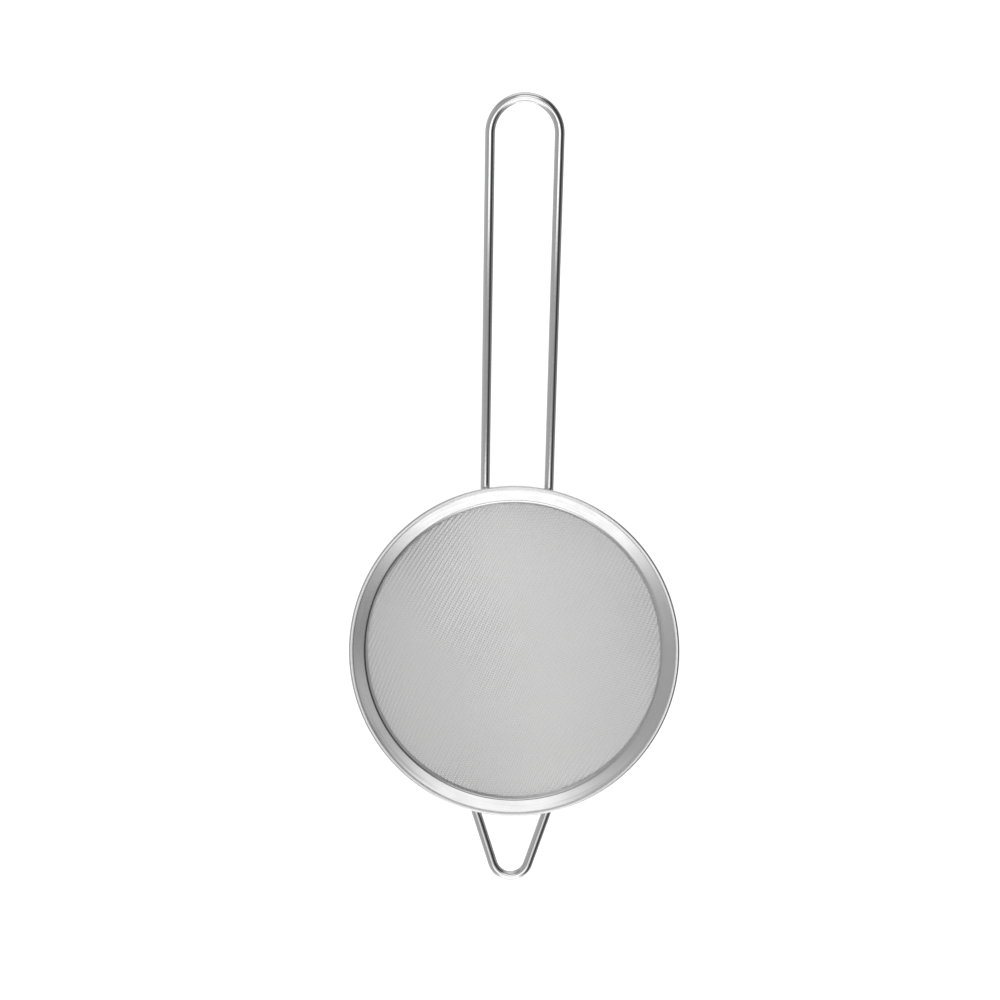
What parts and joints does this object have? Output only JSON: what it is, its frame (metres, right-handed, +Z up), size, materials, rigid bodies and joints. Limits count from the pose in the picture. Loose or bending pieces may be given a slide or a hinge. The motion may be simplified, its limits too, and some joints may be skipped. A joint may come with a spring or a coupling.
{
  "type": "tea strainer",
  "caption": "Shallow round strainer bowl of fine woven steel wire cloth, clamped in a pressed rim, with a long rising wire loop handle and a short wire rest hook opposite.",
  "frame": {"origin": "centre of the round rim, level with the underside of the rim's outer edge, where it sits on a cup", "axes": "+Z up out of the open bowl, +Y along the handle, -Y towards the rest hook"},
  "size_m": [0.08, 0.1825, 0.053],
  "materials": {
    "rim_steel": "satin",
    "wire_cloth": "satin",
    "polished_wire": "polished",
    "weld_metal": "matte"
  },
  "bodies": {
    "root": {"rim_collar": "rim_steel", "rim_band": "rim_steel", "mesh_bowl": "wire_cloth", "handle_wire": "polished_wire", "rest_hook": "polished_wire", "handle_weld_left": "weld_metal", "handle_weld_right": "weld_metal", "hook_weld_left": "weld_metal", "hook_weld_right": "weld_metal"}
  },
  "joints": []
}
